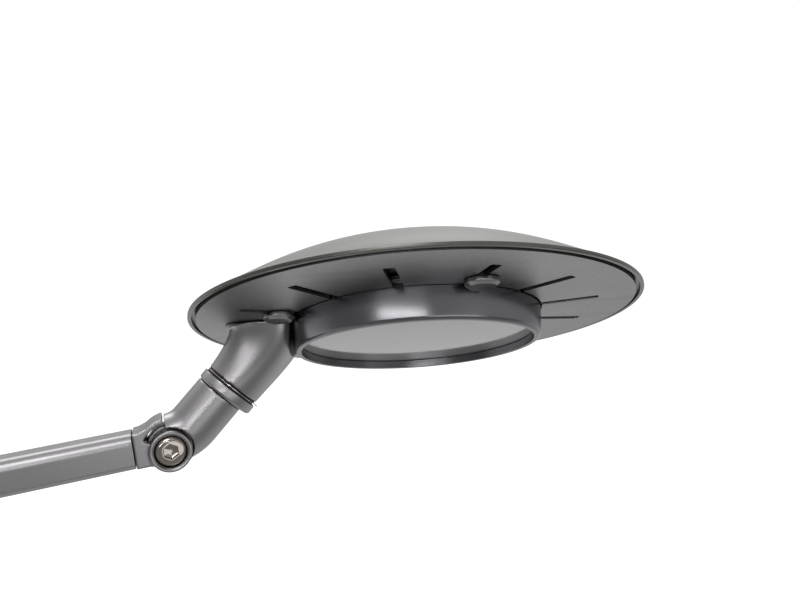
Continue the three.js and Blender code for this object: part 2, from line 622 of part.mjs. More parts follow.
const lowerLink = group(post, 0, 0, POST.hingeHeight);
lowerLink.rotation.y = -deg(LOWER_ARM_ANGLE);
link("lower_link", true, lowerLink);
hingeHardware("shoulder", lowerLink);

const upperLink = group(lowerLink, ARM_LENGTH);
upperLink.rotation.y = deg(LOWER_ARM_ANGLE - UPPER_ARM_ANGLE);
link("upper_link", false, upperLink);
hingeHardware("mid_hinge", upperLink);
const elbow = group(upperLink, ARM_LENGTH);
hingeHardware("elbow", elbow);

neckElbow(elbow);
const swivel = group(elbow, SWIVEL.x, 0, SWIVEL.z);
swivel.rotation.y = Math.PI / 2 - deg(SWIVEL.angle);
swivelFixedPieces(swivel);

const turned = group(swivel);
turned.rotation.z = deg(SWIVEL_AT_REST);
swivelTurningPieces(turned);
const tilted = group(turned);
tilted.rotation.y = deg(HEAD_TILT) - Math.PI / 2;
const head = group(tilted, HEAD.x, 0, HEAD.z);
domeCover(head);
slotPlate(head);
headBracket(head);
windowAndLamp(head);
plateButtons(head);

export default root;
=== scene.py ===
# A small domed lamp head with a slotted underside, on a swivelling neck and a folding wall arm.
# Shapes are worked out in millimetres, each in the frame of the hinge or face that it belongs to,
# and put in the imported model's frame in metres.
import json
import math

import bmesh
import bpy
from mathutils import Matrix, Vector


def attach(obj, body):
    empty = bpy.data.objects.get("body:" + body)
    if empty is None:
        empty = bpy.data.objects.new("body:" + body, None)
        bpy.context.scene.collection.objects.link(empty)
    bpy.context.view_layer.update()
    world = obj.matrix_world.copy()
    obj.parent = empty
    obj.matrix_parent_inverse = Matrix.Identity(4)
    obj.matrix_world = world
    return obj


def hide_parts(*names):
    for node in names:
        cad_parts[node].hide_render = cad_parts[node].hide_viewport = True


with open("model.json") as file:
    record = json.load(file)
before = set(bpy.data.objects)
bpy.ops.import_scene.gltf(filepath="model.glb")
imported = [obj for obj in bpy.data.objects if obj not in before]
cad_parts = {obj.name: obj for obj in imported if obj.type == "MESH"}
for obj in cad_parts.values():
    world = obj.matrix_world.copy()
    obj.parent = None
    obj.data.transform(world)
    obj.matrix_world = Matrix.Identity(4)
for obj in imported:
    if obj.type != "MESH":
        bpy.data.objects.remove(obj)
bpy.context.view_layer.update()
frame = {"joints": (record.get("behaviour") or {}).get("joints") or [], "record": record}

# ---------------------------------------------------------------- places, from the joints

MM = 0.001
JOINTS = {joint["name"]: joint for joint in frame["joints"]}
SLOT_OF = {row["node"]: row["material_slot"] for row in frame["record"]["subparts"]}
ACROSS = Vector((0, 1, 0))
UP = Vector((0, 0, 1))
SWIVEL_AT_REST = math.radians(-25)
HEAD_TILT = math.radians(-42)
HEAD_FROM_SWIVEL = Vector((36.5, 0, 11.3)) * MM


def pivot(joint):
    return Vector(JOINTS[joint]["pos_m"])


def facing(origin, x, z):
    """The place at origin whose X and Z point these ways."""
    return Matrix.Translation(origin) @ Matrix((x, z.cross(x), z)).transposed().to_4x4()


def along(origin, target):
    """The place at origin whose X points at target, with Y across the arm."""
    x = (target - origin).normalized()
    return facing(origin, x, x.cross(ACROSS))


def about_y(place):
    """The same place with its Z turned to lie where its Y was."""
    return place @ Matrix.Rotation(math.radians(-90), 4, "X")


def moved(place, x=0.0, y=0.0, z=0.0):
    return place @ Matrix.Translation(Vector((x, y, z)) * MM)


WALL = facing(Vector(), -UP, Vector((1, 0, 0)))
POST = Matrix.Translation(pivot("post_turn"))
SHOULDER = along(pivot("shoulder_tilt"), pivot("mid_tilt"))
MIDDLE = along(pivot("mid_tilt"), pivot("elbow_tilt"))
ELBOW = Matrix.Translation(pivot("elbow_tilt") - pivot("mid_tilt")) @ MIDDLE
SWIVEL_AXIS = Vector(JOINTS["head_swivel"]["axis"]).normalized()
SWIVEL = facing(pivot("head_swivel"), ACROSS.cross(SWIVEL_AXIS), SWIVEL_AXIS)
TURNED = SWIVEL @ Matrix.Rotation(SWIVEL_AT_REST, 4, "Z")
HEAD = TURNED @ Matrix.Rotation(HEAD_TILT, 4, "Y") @ Matrix.Translation(HEAD_FROM_SWIVEL)

# ---------------------------------------------------------------- driving dimensions, millimetres

LINK_LENGTH = (pivot("mid_tilt") - pivot("shoulder_tilt")).length / MM
RISE = 1.3  # the neck's centre line above the elbow's hinge line
PROFILE_WIDTH = 8.0
PROFILE_ROUND = 2.0
PROFILE_BEVEL = 0.8
PROFILE_TOP = 4.1
PROFILE_FOOT = -2.2
CHANNEL_WIDTH = 5.0
CHANNEL_DEPTH = 4.6
SEAM = 6.1  # from a hinge to where the profile starts
TONGUE_SHOULDER = 2.3

BOSS = 3.7
BOSS_FRONT = 5.5
BOSS_REAR = 6.2
CHEEK_INSIDE = 2.5
KNUCKLE = 4.3
KNUCKLE_HALF = 1.8
SEAT = 5.0  # the hollow that the knuckle turns in
LIP = 5.9  # the hook over the knuckle
LIP_END = 97  # degrees round the knuckle, where the hook ends
SHANK = 1.5
SHANK_HOLE = 1.65
SCREW_HEAD = 2.75
SCREW_SEAT = 3.5  # from the hinge's middle to the face under the screw's head
NUT_SEAT = 3.8
NUT_HEIGHT = 2.1
NUT_CORNER = 3.175

NECK = 4.74
NECK_OFFSET = 0.77
NECK_BEND = 8.0
NECK_ANGLE = 41.0
COLLAR = 5.75
COLLAR_HALF = 0.825
COLLAR_SKIRT = 0.27  # how far the collar reaches down past its lower face
SPIGOT = 2.9
THIN_WASHER = 0.2  # each of the three washers between the collar and the head
THIN_GAP = 0.05  # between two of them

PLATE = 40.9
PLATE_THICK = 0.7
PLATE_HOLE = 24.1
SLOTS = 12
SLOT_PITCH = math.radians(360 / 13)
SLOT_HALF = 0.95
SLOT_END = 34.3
DOME = 42.3
DOME_FOOT = 0.15
DOME_SHOULDER = 0.75
DOME_RISE = 12.3
DOME_WALL = 1.0
RING_CLEARANCE = 24.2
BUTTON_CIRCLE = 26.9
BUTTON_ANGLES = [67, 155, -155, -67]
BRACKET_SCREWS = (-32, 4.5)  # how far back in the head, and how far to each side
GLASS_SEAT = -4.05  # heights in the head, where the plate's underside is 0
GLASS_TOP = GLASS_SEAT + 1.6
GASKET_TOP = GLASS_TOP + 0.8

# ---------------------------------------------------------------- outlines and meshes, millimetres


def arc(radius, start, end, steps, centre=(0, 0)):
    """Points round a centre from one angle to another, in degrees."""
    turns = [math.radians(start + (end - start) * i / steps) for i in range(steps + 1)]
    return [(centre[0] + radius * math.cos(t), centre[1] + radius * math.sin(t)) for t in turns]


def circle(radius, sides=96, centre=(0, 0)):
    return arc(radius, 0, 360, sides, centre)[:-1]


def softened(outline, soft, closed):
    """The outline with its corners rounded by soft, or by a corner's own third number."""
    steps = 4
    made = []
    for i, corner in enumerate(outline):
        here = Vector(corner[:2])
        reach = corner[2] if len(corner) > 2 else soft
        if reach == 0 or (not closed and i in (0, len(outline) - 1)):
            made.append(here)
            continue
        before = Vector(outline[i - 1][:2]) - here
        after = Vector(outline[(i + 1) % len(outline)][:2]) - here
        start = here + before.normalized() * min(reach, 0.45 * before.length)
        end = here + after.normalized() * min(reach, 0.45 * after.length)
        for k in range(steps + 1):
            t = k / steps
            made.append((1 - t) ** 2 * start + 2 * t * (1 - t) * here + t * t * end)
    return made


def skin(rings, closed):
    """A mesh through rings of points. A ring of one point is a pole."""
    bm = bmesh.new()
    made = [[bm.verts.new(point) for point in loop] for loop in rings]
    pairs = list(zip(made, made[1:]))
    if closed:
        pairs.append((made[-1], made[0]))
    for low, high in pairs:
        sides = max(len(low), len(high))
        for k in range(sides):
            n = (k + 1) % sides
            corners = [low[k % len(low)], low[n % len(low)], high[n % len(high)], high[k % len(high)]]
            bm.faces.new(list(dict.fromkeys(corners)))
    if not closed:
        for loop in (made[0], made[-1]):
            if len(loop) > 1:
                bm.faces.new(loop)
    bmesh.ops.recalc_face_normals(bm, faces=bm.faces)
    return bm


def turned(outline, sides=96, soft=0.15, closed=False):
    """A body of revolution about Z. An open outline starts and ends on the axis."""
    rings = []
    for radius, height in softened(outline, soft, closed):
        if radius < 1e-6:
            rings.append([(0, 0, height)])
        else:
            rings.append([(x, y, height) for x, y in circle(radius, sides)])
    return skin(rings, closed)


def rod(radius, low, high, sides=96, soft=0.0):
    return turned([(0, low), (radius, low), (radius, high), (0, high)], sides, soft)


def ring(inner, outer, low, high, sides=96, soft=0.1):
    return turned([(inner, low), (outer, low), (outer, high), (inner, high)], sides, soft, closed=True)


def six_sided(bm, share):
    """Draws a turned body in to a hexagon, by share(radius, height) from 0 to 1."""
    sixth = math.pi / 3
    for vert in bm.verts:
        radius = math.hypot(vert.co.x, vert.co.y)
        turn = (math.atan2(vert.co.y, vert.co.x) + sixth / 2) % sixth - sixth / 2
        flat = math.cos(sixth / 2) / math.cos(turn)
        amount = min(1.0, max(0.0, share(radius, vert.co.z)))
        vert.co.xy *= 1 + (flat - 1) * amount
    return bm


def pressed(edge, holes, low, high):
    """A flat-sided body between two heights, inside an edge and outside its holes."""
    bm = bmesh.new()
    edges = []
    for loop in [edge, *holes]:
        verts = [bm.verts.new((point[0], point[1], low)) for point in loop]
        edges += [bm.edges.new((verts[i - 1], verts[i])) for i in range(len(verts))]
    bmesh.ops.triangle_fill(bm, use_beauty=True, use_dissolve=False, edges=edges)
    raised = bmesh.ops.extrude_face_region(bm, geom=bm.faces[:])["geom"]
    verts = [item for item in raised if isinstance(item, bmesh.types.BMVert)]
    bmesh.ops.translate(bm, vec=(0, 0, high - low), verts=verts)
    bmesh.ops.recalc_face_normals(bm, faces=bm.faces)
    return bm


def block(low, high):
    bm = bmesh.new()
    bmesh.ops.create_cube(bm, size=1)
    size = Vector(high) - Vector(low)
    bmesh.ops.scale(bm, vec=size, verts=bm.verts)
    bmesh.ops.translate(bm, vec=(Vector(high) + Vector(low)) / 2, verts=bm.verts)
    return bm


def put(bm, x=0.0, y=0.0, z=0.0):
    bmesh.ops.translate(bm, vec=(x, y, z), verts=bm.verts)
    return bm


def tilted(bm, axis, degrees):
    turn = Matrix.Rotation(math.radians(degrees), 3, axis)
    bmesh.ops.rotate(bm, matrix=turn, verts=bm.verts)
    return bm


def lying(bm):
    """A body made along Z, laid along Y."""
    return tilted(bm, "X", -90)


def upright(bm):
    """An outline in X and Y pressed along Z, stood up so that its Y is up and it lies along -Y."""
    return tilted(bm, "X", 90)


def thing(bm, name="tool"):
    """A bare object for a bmesh, which is used up."""
    mesh = bpy.data.meshes.new(name)
    bm.to_mesh(mesh)
    bm.free()
    made = bpy.data.objects.new(name, mesh)
    bpy.context.scene.collection.objects.link(made)
    return made


def applied(made):
    """The object with its modifiers made part of its mesh."""
    bpy.context.view_layer.update()
    seen = made.evaluated_get(bpy.context.evaluated_depsgraph_get())
    mesh = bpy.data.meshes.new_from_object(seen)
    made.modifiers.clear()
    old = made.data
    made.data = mesh
    bpy.data.meshes.remove(old)
    return made


def taken(made):
    """An object's mesh as a bmesh, with the object itself used up."""
    bm = bmesh.new()
    bm.from_mesh(made.data)
    bpy.data.objects.remove(made)
    return bm


def shaped(base, joined=(), cut=()):
    """A bmesh of the first body with the joined ones added and then the cut ones taken away."""
    whole = thing(base)
    for operation, bodies in (("UNION", joined), ("DIFFERENCE", cut)):
        for body in bodies:
            tool = thing(body)
            change = whole.modifiers.new("change", "BOOLEAN")
            change.operation = operation
            change.solver = "MANIFOLD"
            change.object = tool
            applied(whole)
            bpy.data.objects.remove(tool)
    return taken(whole)


def cast(bm, cell=0.15, passes=4):
    """A cast body: every edge of the shape a little rounded, and every inner corner filled."""
    whole = thing(bm)
    remesh = whole.modifiers.new("remesh", "REMESH")
    remesh.mode = "VOXEL"
    remesh.voxel_size = cell
    smooth = whole.modifiers.new("smooth", "SMOOTH")
    smooth.factor = 0.5
    smooth.iterations = passes
    return taken(applied(whole))


# ---------------------------------------------------------------- materials

SATIN_TONE = (0.42, 0.41, 0.42)
SATIN_EDGE = (0.6, 0.6, 0.61)
STEEL_EDGE = (0.7, 0.7, 0.7)
MATERIALS = {}  # by the name of the slot that each one is for
OWN_PLACE = "own_place"  # where a point lies on its piece, in millimetres


def add(tree, kind, inputs=None, **settings):
    """A node with its settings, and with its inputs linked or set."""
    made = tree.nodes.new(kind)
    for key, value in settings.items():
        setattr(made, key, value)
    for key, value in (inputs or {}).items():
        socket = made.inputs[key]
        if isinstance(value, bpy.types.NodeSocket):
            tree.links.new(value, socket)
        else:
            socket.default_value = value
    return made


def sum_of(tree, operation, first, second):
    return add(tree, "ShaderNodeMath", {0: first, 1: second}, operation=operation).outputs[0]


def weighted(tree, value, share, more):
    """A value times a share, plus another value."""
    node = add(tree, "ShaderNodeMath", {0: value, 1: share, 2: more}, operation="MULTIPLY_ADD")
    return node.outputs[0]


def spread(tree, value, low, high, start=0.0, end=1.0):
    """A value from low to high, stretched to run from start to end."""
    inputs = {"Value": value, "From Min": low, "From Max": high, "To Min": start, "To Max": end}
    return add(tree, "ShaderNodeMapRange", inputs).outputs["Result"]


def noise(tree, place, scale, detail):
    inputs = {"Vector": place, "Scale": scale, "Detail": detail}
    return add(tree, "ShaderNodeTexNoise", inputs).outputs["Fac"]


def group(name, inputs, outputs):
    """An empty shader node group with named sockets, and its input and output nodes."""
    tree = bpy.data.node_groups.new(name, "ShaderNodeTree")
    for label, kind, value in inputs:
        socket = tree.interface.new_socket(name=label, in_out="INPUT", socket_type="NodeSocket" + kind)
        if value is not None:
            socket.default_value = value
    for label, kind in outputs:
        tree.interface.new_socket(name=label, in_out="OUTPUT", socket_type="NodeSocket" + kind)
    return tree, add(tree, "NodeGroupInput").outputs, add(tree, "NodeGroupOutput").inputs


def blasted_grain():
    """The fine frosted grain of a blasted casting, with a few larger soft patches."""
    tree, given, out = group(
        "blasted grain",
        [("Millimetres", "Vector", None), ("Grain", "Float", 5.0), ("Patch", "Float", 0.18)],
        [("Fine", "Float"), ("Patches", "Float"), ("Height", "Float")],
    )
    fine = noise(tree, given["Millimetres"], given["Grain"], 2.0)
    finest = noise(tree, given["Millimetres"], sum_of(tree, "MULTIPLY", given["Grain"], 2.7), 1.0)
    softer = sum_of(tree, "MULTIPLY", fine, 0.6)
    both = sum_of(tree, "ADD", softer, sum_of(tree, "MULTIPLY", finest, 0.4))
    tree.links.new(fine, out["Fine"])
    patches = noise(tree, given["Millimetres"], given["Patch"], 4.0)
    tree.links.new(spread(tree, patches, 0.3, 0.7), out["Patches"])
    tree.links.new(both, out["Height"])
    return tree


def turning_marks():
    """Faint rings left by a cutting tool, about the piece's own Z."""
    tree, given, out = group(
        "turning marks",
        [("Millimetres", "Vector", None), ("Pitch", "Float", 0.35)],
        [("Mask", "Float")],
    )
    apart = add(tree, "ShaderNodeSeparateXYZ", {0: given["Millimetres"]}).outputs
    square = sum_of(tree, "MULTIPLY", apart["X"], apart["X"])
    other = sum_of(tree, "MULTIPLY", apart["Y"], apart["Y"])
    radius = sum_of(tree, "SQRT", sum_of(tree, "ADD", square, other), 0.0)
    reach = sum_of(tree, "ADD", radius, sum_of(tree, "MULTIPLY", apart["Z"], 1.7))
    steps = sum_of(tree, "DIVIDE", reach, given["Pitch"])
    inputs = {"W": steps, "Scale": 1.0, "Detail": 2.0}
    lines = add(tree, "ShaderNodeTexNoise", inputs, noise_dimensions="1D")
    tree.links.new(lines.outputs["Fac"], out["Mask"])
    return tree


def drawn_lines():
    """Long fine lines along the piece's X, as on an extruded or rolled surface."""
    tree, given, out = group(
        "drawn lines",
        [("Millimetres", "Vector", None), ("Width", "Float", 0.25), ("Length", "Float", 18.0)],
        [("Mask", "Float")],
    )
    lengthways = sum_of(tree, "DIVIDE", 1.0, given["Length"])
    across = sum_of(tree, "DIVIDE", 1.0, given["Width"])
    stretch = add(tree, "ShaderNodeCombineXYZ", {"X": lengthways, "Y": across, "Z": across}).outputs[0]
    inputs = {0: given["Millimetres"], 1: stretch}
    place = add(tree, "ShaderNodeVectorMath", inputs, operation="MULTIPLY").outputs[0]
    tree.links.new(noise(tree, place, 1.0, 2.0), out["Mask"])
    return tree


def worn_edges():
    """Where an outer edge is rubbed a little brighter, broken up along its length."""
    tree, given, out = group(
        "worn edges",
        [("Millimetres", "Vector", None), ("Start", "Float", 0.6), ("End", "Float", 0.75)],
        [("Mask", "Float")],
    )
    sharp = add(tree, "ShaderNodeNewGeometry").outputs["Pointiness"]
    edge = spread(tree, sharp, given["Start"], given["End"])
    broken = spread(tree, noise(tree, given["Millimetres"], 1.4, 4.0), 0.3, 0.6)
    tree.links.new(sum_of(tree, "MULTIPLY", edge, broken), out["Mask"])
    return tree


def handling():
    """Soft smears and a few fine scratches from being handled and wiped."""
    tree, given, out = group(
        "handling",
        [("Millimetres", "Vector", None)],
        [("Smears", "Float"), ("Scratches", "Float")],
    )
    smears = noise(tree, given["Millimetres"], 0.11, 5.0)
    tree.links.new(spread(tree, smears, 0.42, 0.7), out["Smears"])
    inputs = {"Vector": given["Millimetres"], "Scale": 0.3, "Randomness": 1.0}
    cells = add(tree, "ShaderNodeTexVoronoi", inputs, feature="DISTANCE_TO_EDGE").outputs["Distance"]
    lines = spread(tree, cells, 0.012, 0.0)
    tree.links.new(sum_of(tree, "MULTIPLY", lines, spread(tree, smears, 0.5, 0.62)), out["Scratches"])
    return tree


GRAIN = blasted_grain()
MARKS = turning_marks()
LINES = drawn_lines()
WEAR = worn_edges()
HANDLING = handling()


def use(tree, made, inputs):
    """The outputs of a node of a group made above."""
    return add(tree, "ShaderNodeGroup", inputs, node_tree=made).outputs


def colour(tree, share, first, second):
    """A colour between two, each of them a colour or a colour's socket."""
    node = tree.nodes.new("ShaderNodeMix")
    node.data_type = "RGBA"
    sockets = {socket.identifier: socket for socket in node.inputs}
    tree.links.new(share, sockets["Factor_Float"])
    for name, value in (("A_Color", first), ("B_Color", second)):
        if isinstance(value, bpy.types.NodeSocket):
            tree.links.new(value, sockets[name])
        else:
            sockets[name].default_value = (*value, 1)
    return next(socket for socket in node.outputs if socket.identifier == "Result_Color")


def new_material(name):
    """A new material's nodes and Principled shader, and where a point lies on its piece."""
    material = bpy.data.materials.new(name)
    material.use_nodes = True
    MATERIALS[name] = material
    tree = material.node_tree
    shader = next(node for node in tree.nodes if node.type == "BSDF_PRINCIPLED")
    place = add(tree, "ShaderNodeAttribute", attribute_name=OWN_PLACE).outputs["Vector"]
    return tree, shader, place


def bumped(tree, shader, height, strength, depth):
    """The height, in shares of depth, as the shader's normal. Depth is in millimetres."""
    inputs = {"Height": height, "Strength": strength, "Distance": depth * MM}
    tree.links.new(add(tree, "ShaderNodeBump", inputs).outputs[0], shader.inputs["Normal"])


def metal(name, tone, roughness, pattern, edge_tone=SATIN_EDGE, rim=0.6, depth=0.0004):
    """A satin or bright metal with a pattern of grain, marks or lines, depth millimetres deep.

    Worn edges show the edge tone. At a glancing angle the metal keeps rim of its brightness.
    """
    tree, shader, place = new_material(name)
    grains = use(tree, GRAIN, {"Millimetres": place, "Grain": 5.0})
    wear = use(tree, WEAR, {"Millimetres": place})["Mask"]
    touched = use(tree, HANDLING, {"Millimetres": place})
    height = grains["Height"]
    if pattern == "marks":
        height = use(tree, MARKS, {"Millimetres": place, "Pitch": 0.3})["Mask"]
    if pattern == "lines":
        height = use(tree, LINES, {"Millimetres": place, "Width": 0.22, "Length": 20.0})["Mask"]
    darker = [0.95 * value for value in tone]
    mottled = weighted(tree, grains["Patches"], 0.7, sum_of(tree, "MULTIPLY", height, 0.3))
    body = colour(tree, mottled, darker, tone)
    # Drawn strips are so narrow that all of their faces would count as edges.
    worn = 0.0 if pattern == "lines" else 0.2
    rubbed = sum_of(tree, "MULTIPLY", wear, worn)
    tree.links.new(colour(tree, rubbed, body, edge_tone), shader.inputs["Base Color"])
    base = spread(tree, height, 0.2, 0.8, roughness * 0.97, roughness * 1.03)
    smeared = weighted(tree, touched["Smears"], 0.04, base)
    tree.links.new(weighted(tree, touched["Scratches"], -0.02, smeared), shader.inputs["Roughness"])
    shader.inputs["Metallic"].default_value = 1.0
    shader.inputs["Specular Tint"].default_value = (rim, rim, rim, 1)
    bumped(tree, shader, height, 0.5, depth)


def plain(name, tone, roughness, grain, depth):
    """A moulded or painted surface with a fine grain."""
    tree, shader, place = new_material(name)
    grains = use(tree, GRAIN, {"Millimetres": place, "Grain": grain})
    darker = [0.85 * value for value in tone]
    tree.links.new(colour(tree, grains["Patches"], darker, tone), shader.inputs["Base Color"])
    rough = spread(tree, grains["Fine"], 0.3, 0.7, roughness * 0.85, roughness * 1.15)
    tree.links.new(rough, shader.inputs["Roughness"])
    shader.inputs["IOR"].default_value = 1.46
    bumped(tree, shader, grains["Height"], 0.6, depth)


def opal_glass():
    """Smooth opal glass: milky inside, polished in front, with faint wiping marks."""
    tree, shader, place = new_material("opal_glass")
    touched = use(tree, HANDLING, {"Millimetres": place})
    grains = use(tree, GRAIN, {"Millimetres": place, "Grain": 0.6, "Patch": 0.07})
    thin, thick = (0.25, 0.252, 0.256), (0.275, 0.277, 0.277)
    milky = colour(tree, grains["Patches"], thin, thick)
    tree.links.new(milky, shader.inputs["Base Color"])
    polish = spread(tree, touched["Smears"], 0.0, 1.0, 0.07, 0.14)
    tree.links.new(polish, shader.inputs["Roughness"])
    shader.inputs["IOR"].default_value = 1.42
    bumped(tree, shader, grains["Height"], 0.15, 0.01)


metal("satin_metal", SATIN_TONE, 0.31, "grain")
metal("link_metal", SATIN_TONE, 0.35, "lines")
metal("ring_metal", (0.25, 0.245, 0.26), 0.22, "marks", depth=0.00025)
metal("plate_metal", (0.36, 0.36, 0.368), 0.34, "grain", depth=0.0002)
metal("button_metal", (0.34, 0.34, 0.34), 0.27, "marks", depth=0.0003)
metal("dome_metal", (0.17, 0.17, 0.158), 0.3, "grain", (0.5, 0.5, 0.48), 0.85, 0.0003)
metal("carrier_metal", (0.5, 0.5, 0.5), 0.35, "lines", STEEL_EDGE)
metal("plate_steel", (0.5, 0.5, 0.49), 0.3, "lines", STEEL_EDGE)
metal("screw_steel", (0.5, 0.46, 0.41), 0.11, "marks", (0.7, 0.68, 0.64))
plain("black_steel", (0.03, 0.03, 0.032), 0.45, 6.0, 0.01)
plain("black_rubber", (0.02, 0.02, 0.02), 0.7, 4.0, 0.02)
plain("black_nylon", (0.015, 0.015, 0.015), 0.6, 4.0, 0.01)
plain("nylon", (0.6, 0.59, 0.54), 0.5, 3.0, 0.01)
plain("white_enamel", (0.85, 0.85, 0.83), 0.4, 2.0, 0.01)
plain("led_yellow", (0.82, 0.62, 0.14), 0.45, 4.0, 0.01)
opal_glass()

# ---------------------------------------------------------------- putting pieces in the frame

BODY_OF = {
    node: body
    for body, nodes in frame["record"]["behaviour"]["bodies"].items()
    for node in nodes
}


def piece(node, bm, place, bevel=0.0, sharp=40):
    """The finished piece that stands for a CAD node, made in millimetres at a place in the frame."""
    made = thing(bm, node + "_visual")
    if bevel:
        edges = made.modifiers.new("edges", "BEVEL")
        edges.width = bevel
        edges.segments = 3
        edges.limit_method = "ANGLE"
        edges.angle_limit = math.radians(35)
        applied(made)
    mesh = made.data
    kept = mesh.attributes.new(OWN_PLACE, "FLOAT_VECTOR", "POINT")
    kept.data.foreach_set("vector", [value for vert in mesh.vertices for value in vert.co])
    mesh.transform(place @ Matrix.Scale(MM, 4))
    mesh.shade_smooth()
    mesh.set_sharp_from_angle(angle=math.radians(sharp))
    made.modifiers.new("normals", "WEIGHTED_NORMAL").keep_sharp = True
    mesh.materials.append(MATERIALS[SLOT_OF[node]])
    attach(made, BODY_OF[node])
    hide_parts(node)


# ---------------------------------------------------------------- fasteners


def socket_screw(length):
    """A socket head screw along Z, its head below z = 0 and its shank above."""
    socket, bottom, top = 1.44, -0.6, -1.8
    outline = [
        (0, bottom + 0.25), (socket, bottom, 0.1), (socket, top, 0.08), (1.9, top + 0.03, 0.3),
        (2.3, top + 0.14, 0.3), (SCREW_HEAD, top + 0.55, 0.25), (SCREW_HEAD, 0, 0.1),
        (SHANK, 0, 0.1), (SHANK, length, 0.3), (0, length),
    ]
    return six_sided(turned(outline), lambda radius, z: (2.1 - radius) / 0.55 if z < -0.2 else 0)


def hex_nut(corner, hole, low, high):
    """A hexagon nut with its corners turned off at both faces."""
    turned_off = corner * 0.9
    slope = 0.35
    outline = [(hole, low, 0.15), (turned_off, low, 0.1), (corner, low + slope, 0.05),
               (corner, high - slope, 0.05), (turned_off, high, 0.1), (hole, high, 0.15)]
    width = (corner - turned_off) / 1.05
    return six_sided(turned(outline, closed=True), lambda radius, z: (radius - turned_off) / width)


def grub_screw(radius, low, high, socket, bottom, soft):
    """A headless screw along Z, with a hexagon socket from its top down to the bottom."""
    outline = [(0, low), (radius, low), (radius, high, soft), (socket, high, 0.05), (socket, bottom),
               (0, bottom)]
    edge = radius - soft
    width = edge - socket - 0.05
    above = bottom - 0.4
    return six_sided(turned(outline, 48), lambda reach, z: (edge - reach) / width if z > above else 0)


def cross_cut(bm, top, half=0.45, reach=1.7, depth=0.8):
    """A screw head with a cross cut down from its top."""
    bars = [block((-x, -y, top - depth), (x, y, top + 1)) for x, y in ((reach, half), (half, reach))]
    return shaped(bm, [], bars)


def washer(inner, outer, low, high):
    return ring(inner, outer, low, high, 72, 0.06)


def hinge_hardware(prefix, place):
    """The screw, nut and friction washers of a hinge that lies along the place's Y."""
    at = about_y(place)
    shank = BOSS_REAR + SCREW_SEAT - 0.4
    piece(prefix + "_screw", put(socket_screw(shank), z=-SCREW_SEAT), at)
    nut = hex_nut(NUT_CORNER, SHANK + 0.12, NUT_SEAT, NUT_SEAT + NUT_HEIGHT)
    piece(prefix + "_nut", nut, at)
    clear = (CHEEK_INSIDE - KNUCKLE_HALF) / 4
    low, high = KNUCKLE_HALF + clear, CHEEK_INSIDE - clear
    piece(prefix + "_washer_rear", washer(SHANK_HOLE, BOSS - 0.2, low, high), at)
    piece(prefix + "_washer_front", washer(SHANK_HOLE, BOSS - 0.2, -high, -low), at)


# ---------------------------------------------------------------- links


def section_outline():
    """A link's outer section: rounded shoulders above and bevels below. X is across and Y is up."""
    side = PROFILE_WIDTH / 2
    shoulder = side - PROFILE_ROUND
    height = PROFILE_TOP - PROFILE_ROUND
    return [
        (PROFILE_BEVEL - side, PROFILE_FOOT), (side - PROFILE_BEVEL, PROFILE_FOOT),
        (side, PROFILE_FOOT + PROFILE_BEVEL),
        *arc(PROFILE_ROUND, 0, 90, 8, (shoulder, height)),
        *arc(PROFILE_ROUND, 90, 180, 8, (-shoulder, height)),
        (-side, PROFILE_FOOT + PROFILE_BEVEL),
    ]


def along_x(bm):
    """A section pressed along Z, laid along X with its Y up."""
    return tilted(tilted(bm, "X", 90), "Z", 90)


def hinge_hole():
    """What is taken away for a hinge screw that lies along Y."""
    return lying(rod(SHANK_HOLE, -10, 10, 48))


def knuckle():
    return lying(rod(KNUCKLE, -KNUCKLE_HALF, KNUCKLE_HALF))


def plug(start, end):
    """The block inside a link's channel that holds the profile on its end piece."""
    return block((start, -2.2, PROFILE_FOOT + 1.4), (end, 2.2, PROFILE_FOOT + 4.3))


def fork_end():
    """A link's fork, its hinge at the origin and the link leaving towards -X."""
    side = PROFILE_WIDTH / 2
    foot = BOSS * math.cos(math.radians(225))
    fillet = [(-4.2, PROFILE_FOOT), (-3.7, PROFILE_FOOT - 0.03), (-3.2, PROFILE_FOOT - 0.13)]
    outline = [
        (-SEAM, PROFILE_FOOT), *fillet, (foot - 0.25, foot + 0.08),
        *arc(BOSS, 226, 510, 96),
        *arc(SEAT, 150, LIP_END, 20),
        *arc(LIP, LIP_END, 128, 12),
        (-5.2, PROFILE_TOP), (-SEAM, PROFILE_TOP),
    ]
    front = turned([(0, -BOSS_FRONT), (BOSS, -BOSS_FRONT, 0.35), (BOSS, 0), (0, 0)])
    rear = turned([(0, 0), (BOSS, 0), (BOSS, BOSS_REAR, 0.35), (0, BOSS_REAR)])
    outside = -BOSS_FRONT - 1
    head_hole = 2.88
    head_floor = 0.05 - SCREW_SEAT
    mouth = [(0, outside), (3.25, outside, 0), (3.25, -BOSS_FRONT, 0), (head_hole, 0.37 - BOSS_FRONT, 0),
             (head_hole, head_floor, 0), (0, head_floor)]
    cut = [
        lying(rod(SEAT, -CHEEK_INSIDE, CHEEK_INSIDE)),
        block((0, -CHEEK_INSIDE, -7), (7, CHEEK_INSIDE, 7)),
        hinge_hole(),
        lying(turned(mouth)),
        lying(rod(3.35, NUT_SEAT - 0.1, BOSS_REAR + 1, 6)),
    ]
    body = upright(pressed(outline, [], -side, side))
    return cast(shaped(body, [lying(front), lying(rear), plug(-SEAM - 10, 0.5 - SEAM)], cut))


